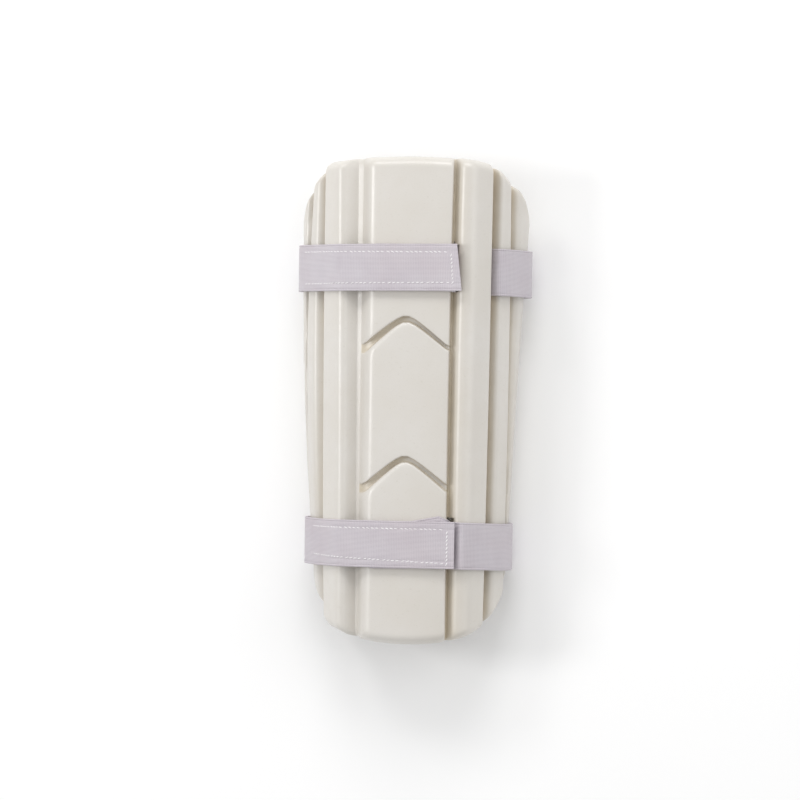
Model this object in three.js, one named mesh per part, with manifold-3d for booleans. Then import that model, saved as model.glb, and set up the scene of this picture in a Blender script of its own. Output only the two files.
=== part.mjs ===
// Cricket arm guard: a moulded foam shell for the forearm with two elastic straps.
// Millimetres. X runs across the guard, +Y points to the elbow, +Z points out of the arm.
// The guard lies open side down. The flat undersides of the straps are at Z = 0.

import * as THREE from 'three';
import { mergeVertices } from 'three/addons/utils/BufferGeometryUtils.js';
import Module from 'manifold-3d';

// Overall size of the shell
const GUARD_LENGTH = 260;
const ELBOW_RIB_SPAN = 58.5; // girth from the centre line to the outside of the second rib, elbow end
const WRIST_RIB_SPAN = 53.5; // the same at the wrist end
const ELBOW_EDGE_SPAN = 21; // girth from there to the rim, at the elbow end
const WRIST_EDGE_SPAN = 9; // the same at the wrist end
const ELBOW_CORNER = 62; // how far the rim stops short of the elbow end
const WRIST_CORNER = 62; // how far it stops short of the wrist end

// Foam thickness
const FLOOR_THICKNESS = 4.2; // foam left under a groove
const RIDGE_HEIGHT = 9.5; // first rib above the groove floor
const END_ROUND = 6.5; // length over which ribs and panel round off at both ends
const END_EDGE_SHARE = 0.55; // share of the floor thickness left at the very edge

// Straps of flat elastic
const BAND_WIDTH = 25;
const BAND_THICKNESS = 1.4;
const CLEARANCE = 0.3;
const BEND_RADIUS = 1.3; // of the band's middle line where it turns into a slit
const UPPER_STRAP_Y = 70.8;
const LOWER_STRAP_Y = -75.5;
const TAB_REACH = 38; // how far the inner end of a strap lies on the panel
const UPPER_END_X = 27; // where the stitched end stops
const LOWER_END_X = 25.5;
const SLIT_SPARE = 1.6; // a slit is this much longer than the band is wide
const LOWER_DIP = 3; // how high above its floor the lower strap is sewn down in the groove
const BACK_FROM = 1.6; // girth place from which the rims carry a strap across the open back

// Chevron grooves in the middle panel
const CHEVRON_WIDTH = 3; // along the guard
const CHEVRON_POINT = 16; // how far the point stands above the ends
const UPPER_CHEVRON_Y = 43.5; // at the point
const LOWER_CHEVRON_Y = -31;
const CHEVRON_DEPTH_SHARE = 0.6; // of the panel's height above the groove floor
const CHEVRON_SHOULDER_SHARE = 0.12; // how far the rounded point falls to its shoulders

// Mesh fineness
const WIDEST_COLUMN = 5.5;
const MIDDLE_ROWS = 15;
const ARC_SHARES = [0, 0.12, 0.35, 1];
const BEND_STEPS = 80;
const WIDEST_TURN = THREE.MathUtils.degToRad(32); // of one step round a corner
const SAME = 1e-3; // heights closer than this count as one
const LEAST_STEP = 0.05; // points of a band closer than this count as one
const LEAST_SQUARE = 0.3; // keeps the corner of a very sharp turn short
const MOST_ROUNDED = 0.45; // share of a straight stretch that one rounded corner may take
const MERGE_DISTANCE = 1e-5;

const BAND_LIFT = CLEARANCE + BAND_THICKNESS / 2; // from a face to the middle of a band on it

// Girth places run from 0 at the centre line to 1 outside the second rib and 2 at the rim,
// below 0 on the left. The wall's tilt from the horizontal in degrees, at both ends and half way between.
const TILT = [
  { place: 'left rim', at: -2, elbow: 112, middle: 107, wrist: 106 },
  { place: 'left third rib, middle', at: -1.4, elbow: 76, middle: 85, wrist: 90 },
  { place: 'left third rib, inside', at: -1.08, elbow: 45, middle: 60, wrist: 70 },
  { place: 'left second rib, outside', at: -0.95, elbow: 39, middle: 41, wrist: 65 },
  { place: 'left second rib, inside', at: -0.79, elbow: 43, middle: 37, wrist: 61 },
  { place: 'left first rib, outside', at: -0.72, elbow: 44, middle: 32, wrist: 49 },
  { place: 'left first rib, inside', at: -0.47, elbow: 38, middle: 29, wrist: 35 },
  { place: 'panel, left edge', at: -0.37, elbow: 8, middle: 1, wrist: 4 },
  { place: 'centre line', at: 0, elbow: 0, middle: 0, wrist: 0 },
  { place: 'panel, right edge', at: 0.37, elbow: 5, middle: 5, wrist: 15 },
  { place: 'right first rib, inside', at: 0.47, elbow: 35, middle: 38, wrist: 45 },
  { place: 'right first rib, outside', at: 0.72, elbow: 37, middle: 48, wrist: 53 },
  { place: 'right second rib, inside', at: 0.79, elbow: 41, middle: 53, wrist: 67 },
  { place: 'right second rib, outside', at: 0.95, elbow: 46, middle: 66, wrist: 80 },
  { place: 'right third rib, inside', at: 1.08, elbow: 61, middle: 83, wrist: 90 },
  { place: 'right third rib, middle', at: 1.4, elbow: 88, middle: 99, wrist: 102 },
  { place: 'right rim', at: 2, elbow: 111, middle: 109, wrist: 107 },
];

// Height of the outer face above the groove floor, as a share of the ridge height, with each
// corner's girth place at the elbow end and at the wrist end.
const RELIEF = [
  { place: 'left rim', elbow: -2, wrist: -2, rise: -0.12 },
  { place: 'left third rib, outer crest', elbow: -1.55, wrist: -1.55, rise: 0.42 },
  { place: 'left third rib, inner crest', elbow: -1.07, wrist: -1.22, rise: 0.64 },
  { place: 'left third rib, foot', elbow: -1, wrist: -1.15, rise: 0.05 },
  { place: 'left second rib, outer foot', elbow: -0.97, wrist: -1.12, rise: 0.05 },
  { place: 'left second rib, outer crest', elbow: -0.95, wrist: -1.1, rise: 0.68 },
  { place: 'left second rib, inner crest', elbow: -0.865, wrist: -0.925, rise: 0.74 },
  { place: 'left second rib, inner foot', elbow: -0.8, wrist: -0.82, rise: 0.05 },
  { place: 'left first rib, outer foot', elbow: -0.78, wrist: -0.8, rise: 0.05 },
  { place: 'left first rib, outer crest', elbow: -0.76, wrist: -0.78, rise: 0.8 },
  { place: 'left first rib, inner crest', elbow: -0.5, wrist: -0.52, rise: 1 },
  { place: 'left first rib, inner foot', elbow: -0.45, wrist: -0.48, rise: 0 },
  { place: 'panel, left foot', elbow: -0.405, wrist: -0.455, rise: 0 },
  { place: 'panel, left crest', elbow: -0.33, wrist: -0.373, rise: 0.63 },
  { place: 'centre line', elbow: 0, wrist: 0, rise: 0.66 },
  { place: 'panel, right crest', elbow: 0.392, wrist: 0.372, rise: 0.63 },
  { place: 'panel, right foot', elbow: 0.402, wrist: 0.382, rise: 0.04 },
  { place: 'right first rib, inner foot', elbow: 0.424, wrist: 0.392, rise: 0.06 },
  { place: 'right first rib, inner crest', elbow: 0.446, wrist: 0.437, rise: 1 },
  { place: 'right first rib, outer crest', elbow: 0.695, wrist: 0.671, rise: 0.8 },
  { place: 'right first rib, outer foot', elbow: 0.72, wrist: 0.696, rise: 0.02 },
  { place: 'right second rib, inner foot', elbow: 0.76, wrist: 0.734, rise: 0.02 },
  { place: 'right second rib, inner crest', elbow: 0.784, wrist: 0.759, rise: 0.7 },
  { place: 'right second rib, outer crest', elbow: 0.879, wrist: 0.954, rise: 0.62 },
  { place: 'right second rib, outer foot', elbow: 0.904, wrist: 0.979, rise: 0.05 },
  { place: 'right third rib, foot', elbow: 0.933, wrist: 1, rise: 0.05 },
  { place: 'right third rib, inner crest', elbow: 0.968, wrist: 1.03, rise: 0.5 },
  { place: 'right third rib, outer crest', elbow: 1.55, wrist: 1.55, rise: 0.42 },
  { place: 'right rim', elbow: 2, wrist: 2, rise: -0.12 },
];

// How far each end falls short, as a share of its corner size.
const OUTLINE = [
  { place: 'left rim', at: -2, elbow: 1, wrist: 1 },
  { place: 'left third rib, outside', at: -1.8, elbow: 0.78, wrist: 0.88 },
  { place: 'left third rib, middle', at: -1.5, elbow: 0.58, wrist: 0.73 },
  { place: 'left third rib, inside', at: -1.22, elbow: 0.41, wrist: 0.56 },
  { place: 'left third rib, crest', at: -1.07, elbow: 0.31, wrist: 0.46 },
  { place: 'left second rib, outside', at: -0.95, elbow: 0.2, wrist: 0.36 },
  { place: 'left second rib, crest', at: -0.87, elbow: 0.13, wrist: 0.28 },
  { place: 'left second rib, inside', at: -0.8, elbow: 0.075, wrist: 0.19 },
  { place: 'left first rib, outside', at: -0.76, elbow: 0.05, wrist: 0.145 },
  { place: 'left first rib, middle', at: -0.62, elbow: 0.033, wrist: 0.1 },
  { place: 'left first rib, crest', at: -0.5, elbow: 0.025, wrist: 0.068 },
  { place: 'left groove', at: -0.44, elbow: 0.02, wrist: 0.052 },
  { place: 'panel, left edge', at: -0.38, elbow: 0.016, wrist: 0.036 },
  { place: 'panel, left half', at: -0.2, elbow: 0.008, wrist: 0.016 },
  { place: 'centre line', at: 0, elbow: 0, wrist: 0 },
  { place: 'panel, right half', at: 0.2, elbow: 0.006, wrist: 0.012 },
  { place: 'panel, right edge', at: 0.38, elbow: 0.01, wrist: 0.036 },
  { place: 'right first rib, crest', at: 0.44, elbow: 0.012, wrist: 0.055 },
  { place: 'right first rib, inside', at: 0.5, elbow: 0.017, wrist: 0.07 },
  { place: 'right first rib, middle', at: 0.62, elbow: 0.033, wrist: 0.105 },
  { place: 'right first rib, outside', at: 0.69, elbow: 0.05, wrist: 0.14 },
  { place: 'right outer groove', at: 0.74, elbow: 0.075, wrist: 0.18 },
  { place: 'right second rib, crest', at: 0.8, elbow: 0.105, wrist: 0.24 },
  { place: 'right second rib, outside', at: 0.88, elbow: 0.19, wrist: 0.32 },
  { place: 'right third rib, crest', at: 0.97, elbow: 0.24, wrist: 0.42 },
  { place: 'right third rib, inside', at: 1.06, elbow: 0.28, wrist: 0.52 },
  { place: 'right third rib, middle', at: 1.3, elbow: 0.43, wrist: 0.65 },
  { place: 'right third rib, outer part', at: 1.5, elbow: 0.56, wrist: 0.75 },
  { place: 'right third rib, outside', at: 1.8, elbow: 0.78, wrist: 0.88 },
  { place: 'right rim', at: 2, elbow: 1, wrist: 1 },
];

const RIM_LEVEL = BAND_THICKNESS + CLEARANCE;
const radians = THREE.MathUtils.degToRad;

// A column of a table read at any place, straight between its rows.
function readTable(rows, at, column) {
  const next = rows.findIndex((row) => row.at >= at);
  if (next < 0) {
    return rows[rows.length - 1][column];
  }
  if (next === 0) {
    return rows[0][column];
  }
  const low = rows[next - 1];
  const high = rows[next];
  const share = (at - low.at) / (high.at - low.at);
  return THREE.MathUtils.lerp(low[column], high[column], share);
}

// A size that changes evenly from the wrist end to the elbow end.
function taper(y, wrist, elbow) {
  return THREE.MathUtils.mapLinear(y, -GUARD_LENGTH / 2, GUARD_LENGTH / 2, wrist, elbow);
}

function ribSpan(y) {
  return taper(y, WRIST_RIB_SPAN, ELBOW_RIB_SPAN);
}

function edgeSpan(y) {
  return taper(y, WRIST_EDGE_SPAN, ELBOW_EDGE_SPAN);
}

// The wall's tilt at a girth place.
function tiltAt(at, y) {
  const along = y / (GUARD_LENGTH / 2);
  const elbow = readTable(TILT, at, 'elbow');
  const middle = readTable(TILT, at, 'middle');
  const wrist = readTable(TILT, at, 'wrist');
  const bow = (elbow + wrist) / 2 - middle;
  return radians(middle + ((elbow - wrist) / 2) * along + bow * along * along);
}

// Where a corner of the relief runs, at a place along the guard.
function placeOf(row, y) {
  return taper(y, row.wrist, row.elbow);
}

function rowNamed(place) {
  return RELIEF.find((row) => row.place === place);
}

// The outer face above the groove floor, as a share of the ridge height.
function riseAt(at, y) {
  const rows = RELIEF.map((row) => ({ at: placeOf(row, y), rise: row.rise }));
  return readTable(rows, at, 'rise');
}

// A point of the arm side of the wall, walked out from the centre line, with the wall's tilt there.
function walkWall(at, y) {
  const step = at / BEND_STEPS;
  let x = 0;
  let z = 0;
  for (let i = 0; i < BEND_STEPS; i += 1) {
    const place = (i + 0.5) * step;
    const run = Math.abs(step) * (Math.abs(place) < 1 ? ribSpan(y) : edgeSpan(y));
    x += Math.cos(tiltAt(place, y)) * run;
    z -= Math.sin(tiltAt(place, y)) * run;
  }
  return { x, z, tilt: tiltAt(at, y) };
}

const rimThickness = FLOOR_THICKNESS + RIDGE_HEIGHT * rowNamed('right rim').rise;

// How deep the section is from the centre line to the rim on one side.
function sectionDepth(side, y) {
  return -walkWall(2 * side, y).z;
}

// Each section is raised so that its rims just clear the strap that they lie on.
function sectionLift(y) {
  const rim = walkWall(2, y);
  return RIM_LEVEL - Math.min(rim.z, rim.z + rimThickness * Math.cos(rim.tilt));
}

// From a girth place, a place along the guard and a height above the arm side to X and Z.
// Both sides are stretched to the same depth, so that both rims lie level.
function bend(at, y, height) {
  const wall = walkWall(at, y);
  const side = at < 0 ? -1 : 1;
  const stretch = sectionDepth(1, y) / sectionDepth(side, y);
  const x = side * (wall.x + height * Math.sin(wall.tilt));
  const z = wall.z * stretch + height * Math.cos(wall.tilt) + sectionLift(y);
  return new THREE.Vector2(x, z);
}

function elbowEnd(at) {
  return GUARD_LENGTH / 2 - ELBOW_CORNER * readTable(OUTLINE, at, 'elbow');
}

function wristEnd(at) {
  return -GUARD_LENGTH / 2 + WRIST_CORNER * readTable(OUTLINE, at, 'wrist');
}

// Thickness of the foam, rounded off towards both ends.
function thickness(at, y) {
  const inset = Math.min(elbowEnd(at) - y, y - wristEnd(at), END_ROUND);
  const rest = 1 - Math.max(inset, 0) / END_ROUND;
  const round = Math.sqrt(1 - rest * rest);
  const floor = FLOOR_THICKNESS * THREE.MathUtils.lerp(END_EDGE_SHARE, 1, round);
  return floor + RIDGE_HEIGHT * riseAt(at, y) * round;
}

// Mesh columns: every row of the relief, with wide steps divided.
function makeColumns() {
  const columns = [RELIEF[0]];
  for (let i = 1; i < RELIEF.length; i += 1) {
    const from = RELIEF[i - 1];
    const to = RELIEF[i];
    const span = Math.abs(from.elbow + to.elbow) < 2 ? ELBOW_RIB_SPAN : ELBOW_EDGE_SPAN;
    const parts = Math.ceil(((to.elbow - from.elbow) * span) / WIDEST_COLUMN);
    for (let part = 1; part <= parts; part += 1) {
      columns.push({
        elbow: THREE.MathUtils.lerp(from.elbow, to.elbow, part / parts),
        wrist: THREE.MathUtils.lerp(from.wrist, to.wrist, part / parts),
      });
    }
  }
  return columns;
}

const COLUMNS = makeColumns();

// Places along the guard of one column's rows, closer together where the ends round off.
function columnRows(column) {
  const low = wristEnd(column.wrist);
  const high = elbowEnd(column.elbow);
  const middle = [];
  for (let i = 1; i < MIDDLE_ROWS; i += 1) {
    middle.push(THREE.MathUtils.lerp(low + END_ROUND, high - END_ROUND, i / MIDDLE_ROWS));
  }
  const start = ARC_SHARES.map((share) => low + share * END_ROUND);
  const end = ARC_SHARES.map((share) => high - share * END_ROUND).reverse();
  return [...start, ...middle, ...end];
}

// A closed mesh of the shell: the arm side, the outer face and the wall between their edges.
function shellBlank() {
  const rowCount = columnRows(COLUMNS[0]).length;
  const positions = [];
  for (const outer of [false, true]) {
    for (const column of COLUMNS) {
      for (const y of columnRows(column)) {
        const at = placeOf(column, y);
        const point = bend(at, y, outer ? thickness(at, y) : 0);
        positions.push(point.x, y, point.y);
      }
    }
  }
  const sheet = COLUMNS.length * rowCount;
  const index = [];
  const quad = (a, b, c, d) => index.push(a, b, c, a, c, d);
  const spot = (column, row) => column * rowCount + row;
  for (let c = 0; c < COLUMNS.length - 1; c += 1) {
    for (let r = 0; r < rowCount - 1; r += 1) {
      const corners = [spot(c, r), spot(c + 1, r), spot(c + 1, r + 1), spot(c, r + 1)];
      quad(...corners.map((corner) => corner + sheet));
      quad(...corners.reverse());
    }
    quad(spot(c, 0), spot(c + 1, 0), spot(c + 1, 0) + sheet, spot(c, 0) + sheet);
    const last = rowCount - 1;
    quad(spot(c + 1, last), spot(c, last), spot(c, last) + sheet, spot(c + 1, last) + sheet);
  }
  for (let r = 0; r < rowCount - 1; r += 1) {
    quad(spot(0, r + 1), spot(0, r), spot(0, r) + sheet, spot(0, r + 1) + sheet);
    const last = COLUMNS.length - 1;
    quad(spot(last, r), spot(last, r + 1), spot(last, r + 1) + sheet, spot(last, r) + sheet);
  }
  const geometry = new THREE.BufferGeometry();
  geometry.setAttribute('position', new THREE.Float32BufferAttribute(positions, 3));
  geometry.setIndex(index);
  return geometry;
}

const wasm = await Module();
wasm.setup();

function toSolid(geometry) {
  const bare = geometry.clone();
  bare.deleteAttribute('normal');
  bare.deleteAttribute('uv');
  const merged = mergeVertices(bare, MERGE_DISTANCE);
  return new wasm.Manifold(
    new wasm.Mesh({
      numProp: 3,
      vertProperties: new Float32Array(merged.attributes.position.array),
      triVerts: new Uint32Array(merged.index.array),
    }),
  );
}

function toGeometry(solid) {
  const mesh = solid.getMesh();
  const geometry = new THREE.BufferGeometry();
  geometry.setAttribute('position', new THREE.BufferAttribute(mesh.vertProperties, 3));
  geometry.setIndex(new THREE.BufferAttribute(mesh.triVerts, 1));
  return geometry;
}

const PANEL_CREST = rowNamed('panel, right crest');
const PANEL_FOOT = rowNamed('panel, right foot');
const FIRST_RIB_FOOT = rowNamed('right first rib, inner foot');
const FIRST_RIB_CREST = rowNamed('right first rib, inner crest');
const FIRST_RIB_OUTER_CREST = rowNamed('right first rib, outer crest');
const SECOND_RIB_CREST = rowNamed('right second rib, inner crest');
const LEFT_GROOVE = [rowNamed('left first rib, inner foot'), rowNamed('panel, left foot')];
const RIGHT_GROOVE = [PANEL_FOOT, FIRST_RIB_FOOT];
const OUTER_GROOVE = [rowNamed('right first rib, outer foot'), rowNamed('right second rib, inner foot')];
const SLIT_WIDTH = BAND_THICKNESS + 2 * CLEARANCE;

// The middle of the floor of a groove.
function grooveMiddle(groove, y) {
  return (placeOf(groove[0], y) + placeOf(groove[1], y)) / 2;
}

// The inner slit is cut close against the panel's side, the outer one along the middle of its groove.
function innerSlitAt(y) {
  return placeOf(PANEL_FOOT, y) + SLIT_WIDTH / 2 / ribSpan(y);
}

function outerSlitAt(y) {
  return grooveMiddle(OUTER_GROOVE, y);
}

function slitCutter(at, y) {
  const wall = walkWall(at, y);
  const middle = bend(at, y, FLOOR_THICKNESS / 2);
  const length = BAND_WIDTH + SLIT_SPARE;
  const cutter = new THREE.BoxGeometry(SLIT_WIDTH, length, FLOOR_THICKNESS + RIDGE_HEIGHT);
  cutter.rotateY(wall.tilt);
  cutter.translate(middle.x, y, middle.y);
  return cutter;
}

// A chevron band across the panel, from groove to groove, cut down into the panel's face.
function chevronCutter(pointY) {
  const left = bend(grooveMiddle(LEFT_GROOVE, pointY), pointY, 0).x;
  const right = bend(grooveMiddle(RIGHT_GROOVE, pointY), pointY, 0).x;
  const top = pointY + CHEVRON_WIDTH / 2;
  const bottom = pointY - CHEVRON_WIDTH / 2;
  const shoulder = CHEVRON_POINT * CHEVRON_SHOULDER_SHARE;
  const shape = new THREE.Shape();
  shape.moveTo(left, top - CHEVRON_POINT);
  shape.lineTo(left, bottom - CHEVRON_POINT);
  shape.lineTo(-CHEVRON_WIDTH, bottom - shoulder);
  shape.quadraticCurveTo(0, bottom, CHEVRON_WIDTH, bottom - shoulder);
  shape.lineTo(right, bottom - CHEVRON_POINT);
  shape.lineTo(right, top - CHEVRON_POINT);
  shape.lineTo(CHEVRON_WIDTH, top - shoulder);
  shape.quadraticCurveTo(0, top, -CHEVRON_WIDTH, top - shoulder);
  const cutter = new THREE.ExtrudeGeometry(shape, {
    depth: RIDGE_HEIGHT * 2,
    bevelEnabled: false,
    curveSegments: 4,
  });
  const panelHeight = RIDGE_HEIGHT * rowNamed('centre line').rise;
  const floor = FLOOR_THICKNESS + panelHeight * (1 - CHEVRON_DEPTH_SHARE);
  cutter.translate(0, 0, bend(0, pointY, floor).y);
  return cutter;
}

function shellGeometry() {
  let solid = toSolid(shellBlank());
  const cutters = [
    chevronCutter(UPPER_CHEVRON_Y),
    chevronCutter(LOWER_CHEVRON_Y),
    slitCutter(innerSlitAt(UPPER_STRAP_Y), UPPER_STRAP_Y),
    slitCutter(outerSlitAt(UPPER_STRAP_Y), UPPER_STRAP_Y),
    slitCutter(innerSlitAt(LOWER_STRAP_Y), LOWER_STRAP_Y),
  ];
  for (const cutter of cutters) {
    solid = solid.subtract(toSolid(cutter));
  }
  return toGeometry(solid);
}

// Places along the guard of a strap's lower edge, its middle and its upper edge.
function strapRows(strapY) {
  return [strapY - BAND_WIDTH / 2, strapY, strapY + BAND_WIDTH / 2];
}

// Corners of both faces of the shell under a strap, between two girth places.
function sectionCorners(strapY, fromAt, toAt) {
  const corners = [];
  for (const y of strapRows(strapY)) {
    const places = COLUMNS.map((column) => placeOf(column, y));
    for (const at of places.filter((place) => place >= fromAt && place <= toAt)) {
      corners.push(bend(at, y, thickness(at, y)));
      corners.push(bend(at, y, 0));
    }
  }
  return corners;
}

// The convex outline round a set of points, clockwise from the leftmost.
function outlineRound(points) {
  const sorted = [...points].sort((a, b) => a.x - b.x || a.y - b.y);
  const turn = (o, a, b) => (a.x - o.x) * (b.y - o.y) - (a.y - o.y) * (b.x - o.x);
  const half = (list) => {
    const chain = [];
    for (const point of list) {
      while (chain.length > 1 && turn(chain[chain.length - 2], chain[chain.length - 1], point) >= 0) {
        chain.pop();
      }
      chain.push(point);
    }
    chain.pop();
    return chain;
  };
  return [...half(sorted), ...half([...sorted].reverse())];
}

// The middle line of a taut band round a clockwise outline, turning about each corner.
function tautLine(outline) {
  const line = [];
  const normal = (from, to) => Math.atan2(to.x - from.x, from.y - to.y);
  for (let i = 0; i < outline.length; i += 1) {
    const here = outline[i];
    const start = normal(outline[(i + outline.length - 1) % outline.length], here);
    const turn = normal(here, outline[(i + 1) % outline.length]) - start;
    const sweep = THREE.MathUtils.euclideanModulo(turn + Math.PI, 2 * Math.PI) - Math.PI;
    const steps = Math.max(1, Math.ceil(Math.abs(sweep) / WIDEST_TURN));
    for (let step = 0; step <= steps; step += 1) {
      const angle = start + (sweep * step) / steps;
      line.push(new THREE.Vector2(Math.cos(angle), Math.sin(angle)).multiplyScalar(BAND_LIFT).add(here));
    }
  }
  return line;
}

// Part of a closed line, clockwise from one of its points to another.
function stretchOf(line, from, to) {
  const stretch = [line[from]];
  for (let i = from; i !== to; ) {
    i = (i + 1) % line.length;
    stretch.push(line[i]);
  }
  return stretch;
}

function highestOf(line) {
  return line.reduce((best, point, i) => (point.y > line[best].y + SAME ? i : best), 0);
}

function lowestLeftOf(line) {
  const floor = Math.min(...line.map((point) => point.y)) + SAME;
  return line.reduce((best, point, i) => {
    const better = point.y < floor && (best < 0 || point.x < line[best].x);
    return better ? i : best;
  }, -1);
}

// A line with its inner corners rounded.
function rounded(points, radius) {
  const line = [points[0]];
  for (let i = 1; i < points.length - 1; i += 1) {
    const here = points[i];
    const back = points[i - 1].clone().sub(here);
    const ahead = points[i + 1].clone().sub(here);
    const turn = Math.PI - back.angleTo(ahead);
    const longest = MOST_ROUNDED * Math.min(back.length(), ahead.length());
    const cut = Math.min(radius * Math.tan(turn / 2), longest);
    const start = here.clone().add(back.setLength(cut));
    const end = here.clone().add(ahead.setLength(cut));
    const steps = Math.max(1, Math.ceil(turn / WIDEST_TURN));
    const curve = new THREE.QuadraticBezierCurve(start, here, end);
    line.push(...(turn < WIDEST_TURN / 4 ? [here] : curve.getPoints(steps)));
  }
  line.push(points[points.length - 1]);
  return line;
}

// A point on the outer face that a strap's middle line passes over, clear of the face across its width.
function overFace(at, strapY) {
  const over = strapRows(strapY).map((y) => bend(at, y, thickness(at, y) + BAND_LIFT));
  return over.reduce((best, point) => (point.y > best.y ? point : best));
}

// The inner end of a strap: along the panel's face to the edge of the right groove.
function tabLine(strapY) {
  const edgeAt = placeOf(PANEL_CREST, strapY);
  const edge = overFace(edgeAt, strapY);
  edge.x += BAND_LIFT;
  const startAt = edgeAt - TAB_REACH / ribSpan(strapY);
  const places = COLUMNS.map((column) => placeOf(column, strapY));
  const between = places.filter((at) => at > startAt && at < edgeAt);
  return [...[startAt, ...between].map((at) => overFace(at, strapY)), edge];
}

// The rest of the strap: from the right ribs round the open back and over the left ribs to its end.
function loopLine(strapY, rightFrom, endX) {
  const backSide = [...sectionCorners(strapY, -2, -BACK_FROM), ...sectionCorners(strapY, BACK_FROM, 2)];
  const rightFromAt = placeOf(rightFrom, strapY - BAND_WIDTH / 2) - SAME;
  const right = tautLine(outlineRound([...sectionCorners(strapY, rightFromAt, 2), ...backSide]));
  const tabTop = tabLine(strapY).map((point) => point.clone().setY(point.y + BAND_THICKNESS / 2));
  const topTo = placeOf(FIRST_RIB_OUTER_CREST, strapY);
  const overTop = [...sectionCorners(strapY, -2, topTo), ...tabTop, ...backSide];
  const left = tautLine(outlineRound(overTop));
  const rightStretch = stretchOf(right, highestOf(right), lowestLeftOf(right));
  const leftStretch = stretchOf(left, lowestLeftOf(left), highestOf(left));
  const afterTop = stretchOf(left, highestOf(left), lowestLeftOf(left));
  const cutAt = afterTop.findIndex((point) => point.x > endX);
  const share = (endX - afterTop[cutAt - 1].x) / (afterTop[cutAt].x - afterTop[cutAt - 1].x);
  const end = afterTop[cutAt - 1].clone().lerp(afterTop[cutAt], share);
  return [...rightStretch, ...leftStretch, ...afterTop.slice(0, cutAt), end];
}

// The upper strap leaves the tab through the inner slit, runs behind the first rib and comes back out.
function upperRoute() {
  const y = UPPER_STRAP_Y;
  const behind = [
    bend(innerSlitAt(y), y, FLOOR_THICKNESS + BAND_LIFT),
    bend(innerSlitAt(y), y, -BAND_LIFT - CLEARANCE),
    bend(outerSlitAt(y), y, -BAND_LIFT - CLEARANCE),
    bend(outerSlitAt(y), y, FLOOR_THICKNESS + BAND_LIFT),
  ];
  const loop = loopLine(y, SECOND_RIB_CREST, UPPER_END_X);
  return [...rounded([...tabLine(y), ...behind, loop[0]], BEND_RADIUS), ...loop.slice(1)];
}

// The lower strap dips into the right groove, where it is sewn down, and passes over the first rib.
function lowerRoute() {
  const y = LOWER_STRAP_Y;
  const dip = bend(grooveMiddle(RIGHT_GROOVE, y), y, FLOOR_THICKNESS + LOWER_DIP);
  const loop = loopLine(y, FIRST_RIB_CREST, LOWER_END_X);
  return [...rounded([...tabLine(y), dip, loop[0]], BEND_RADIUS), ...loop.slice(1)];
}

// One side of a band: its middle line moved sideways, with square corners.
function sideOf(line, distance) {
  return line.map((here, i) => {
    const before = line[Math.max(i - 1, 0)];
    const after = line[Math.min(i + 1, line.length - 1)];
    const into = here.clone().sub(before).normalize();
    const out = after.clone().sub(here).normalize();
    const along = into.clone().add(out).normalize();
    const square = Math.max(along.dot(i === 0 ? out : into), LEAST_SQUARE);
    return new THREE.Vector2(-along.y, along.x).multiplyScalar(distance / square).add(here);
  });
}

// A band of even thickness along a middle line, as wide as the elastic.
function strapGeometry(route, strapY) {
  const line = route.filter((point, i) => i === 0 || point.distanceTo(route[i - 1]) > LEAST_STEP);
  const outside = sideOf(line, BAND_THICKNESS / 2);
  const inside = sideOf(line, -BAND_THICKNESS / 2);
  const shape = new THREE.Shape([...outside, ...inside.reverse()]);
  const band = new THREE.ExtrudeGeometry(shape, { depth: BAND_WIDTH, bevelEnabled: false });
  band.rotateX(Math.PI / 2);
  band.translate(0, strapY + BAND_WIDTH / 2, 0);
  return toGeometry(toSolid(band));
}

const foamSkin = new THREE.MeshStandardMaterial({ color: 0xe9e3d2, roughness: 0.5, metalness: 0 });
const elastic = new THREE.MeshStandardMaterial({ color: 0xddd8e4, roughness: 0.8, metalness: 0 });

const pieces = [
  { name: 'shell', geometry: shellGeometry(), material: foamSkin },
  { name: 'upper_strap', geometry: strapGeometry(upperRoute(), UPPER_STRAP_Y), material: elastic },
  { name: 'lower_strap', geometry: strapGeometry(lowerRoute(), LOWER_STRAP_Y), material: elastic.clone() },
];

const group = new THREE.Group();
for (const piece of pieces) {
  const mesh = new THREE.Mesh(piece.geometry, piece.material);
  mesh.name = piece.name;
  group.add(mesh);
}

// The whole guard is centred across, over the middle of what it stands on.
const middle = new THREE.Box3().setFromObject(group).getCenter(new THREE.Vector3());
group.position.x = -middle.x;

export default group;
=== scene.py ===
# %% [markdown]
# # A cricket arm guard in three pieces
# The guard is a moulded foam shell with raised ribs, held on the forearm by two flat elastic straps.
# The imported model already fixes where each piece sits. This lesson gives each piece its fine surface.
# Everything is in metres. X runs across the guard, +Y points to the elbow and +Z points out of the arm.

# %% Load the fixed frame
import math

import bmesh
import bpy
import numpy as np
from mathutils import Matrix, Vector


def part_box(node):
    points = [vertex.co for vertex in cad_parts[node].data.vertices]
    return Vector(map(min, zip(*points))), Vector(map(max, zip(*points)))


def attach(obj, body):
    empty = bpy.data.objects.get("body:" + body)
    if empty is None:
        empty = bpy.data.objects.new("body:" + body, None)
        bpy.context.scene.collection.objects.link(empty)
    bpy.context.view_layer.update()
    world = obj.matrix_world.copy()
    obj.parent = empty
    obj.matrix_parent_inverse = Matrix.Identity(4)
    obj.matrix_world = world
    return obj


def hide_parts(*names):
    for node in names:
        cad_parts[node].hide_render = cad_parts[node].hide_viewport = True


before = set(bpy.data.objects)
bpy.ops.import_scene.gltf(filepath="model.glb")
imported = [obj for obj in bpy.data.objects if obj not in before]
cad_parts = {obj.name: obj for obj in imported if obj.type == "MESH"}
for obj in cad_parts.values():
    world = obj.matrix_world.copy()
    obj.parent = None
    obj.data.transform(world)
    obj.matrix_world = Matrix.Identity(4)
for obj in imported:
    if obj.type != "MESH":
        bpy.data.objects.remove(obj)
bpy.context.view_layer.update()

MM = 0.001

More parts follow.
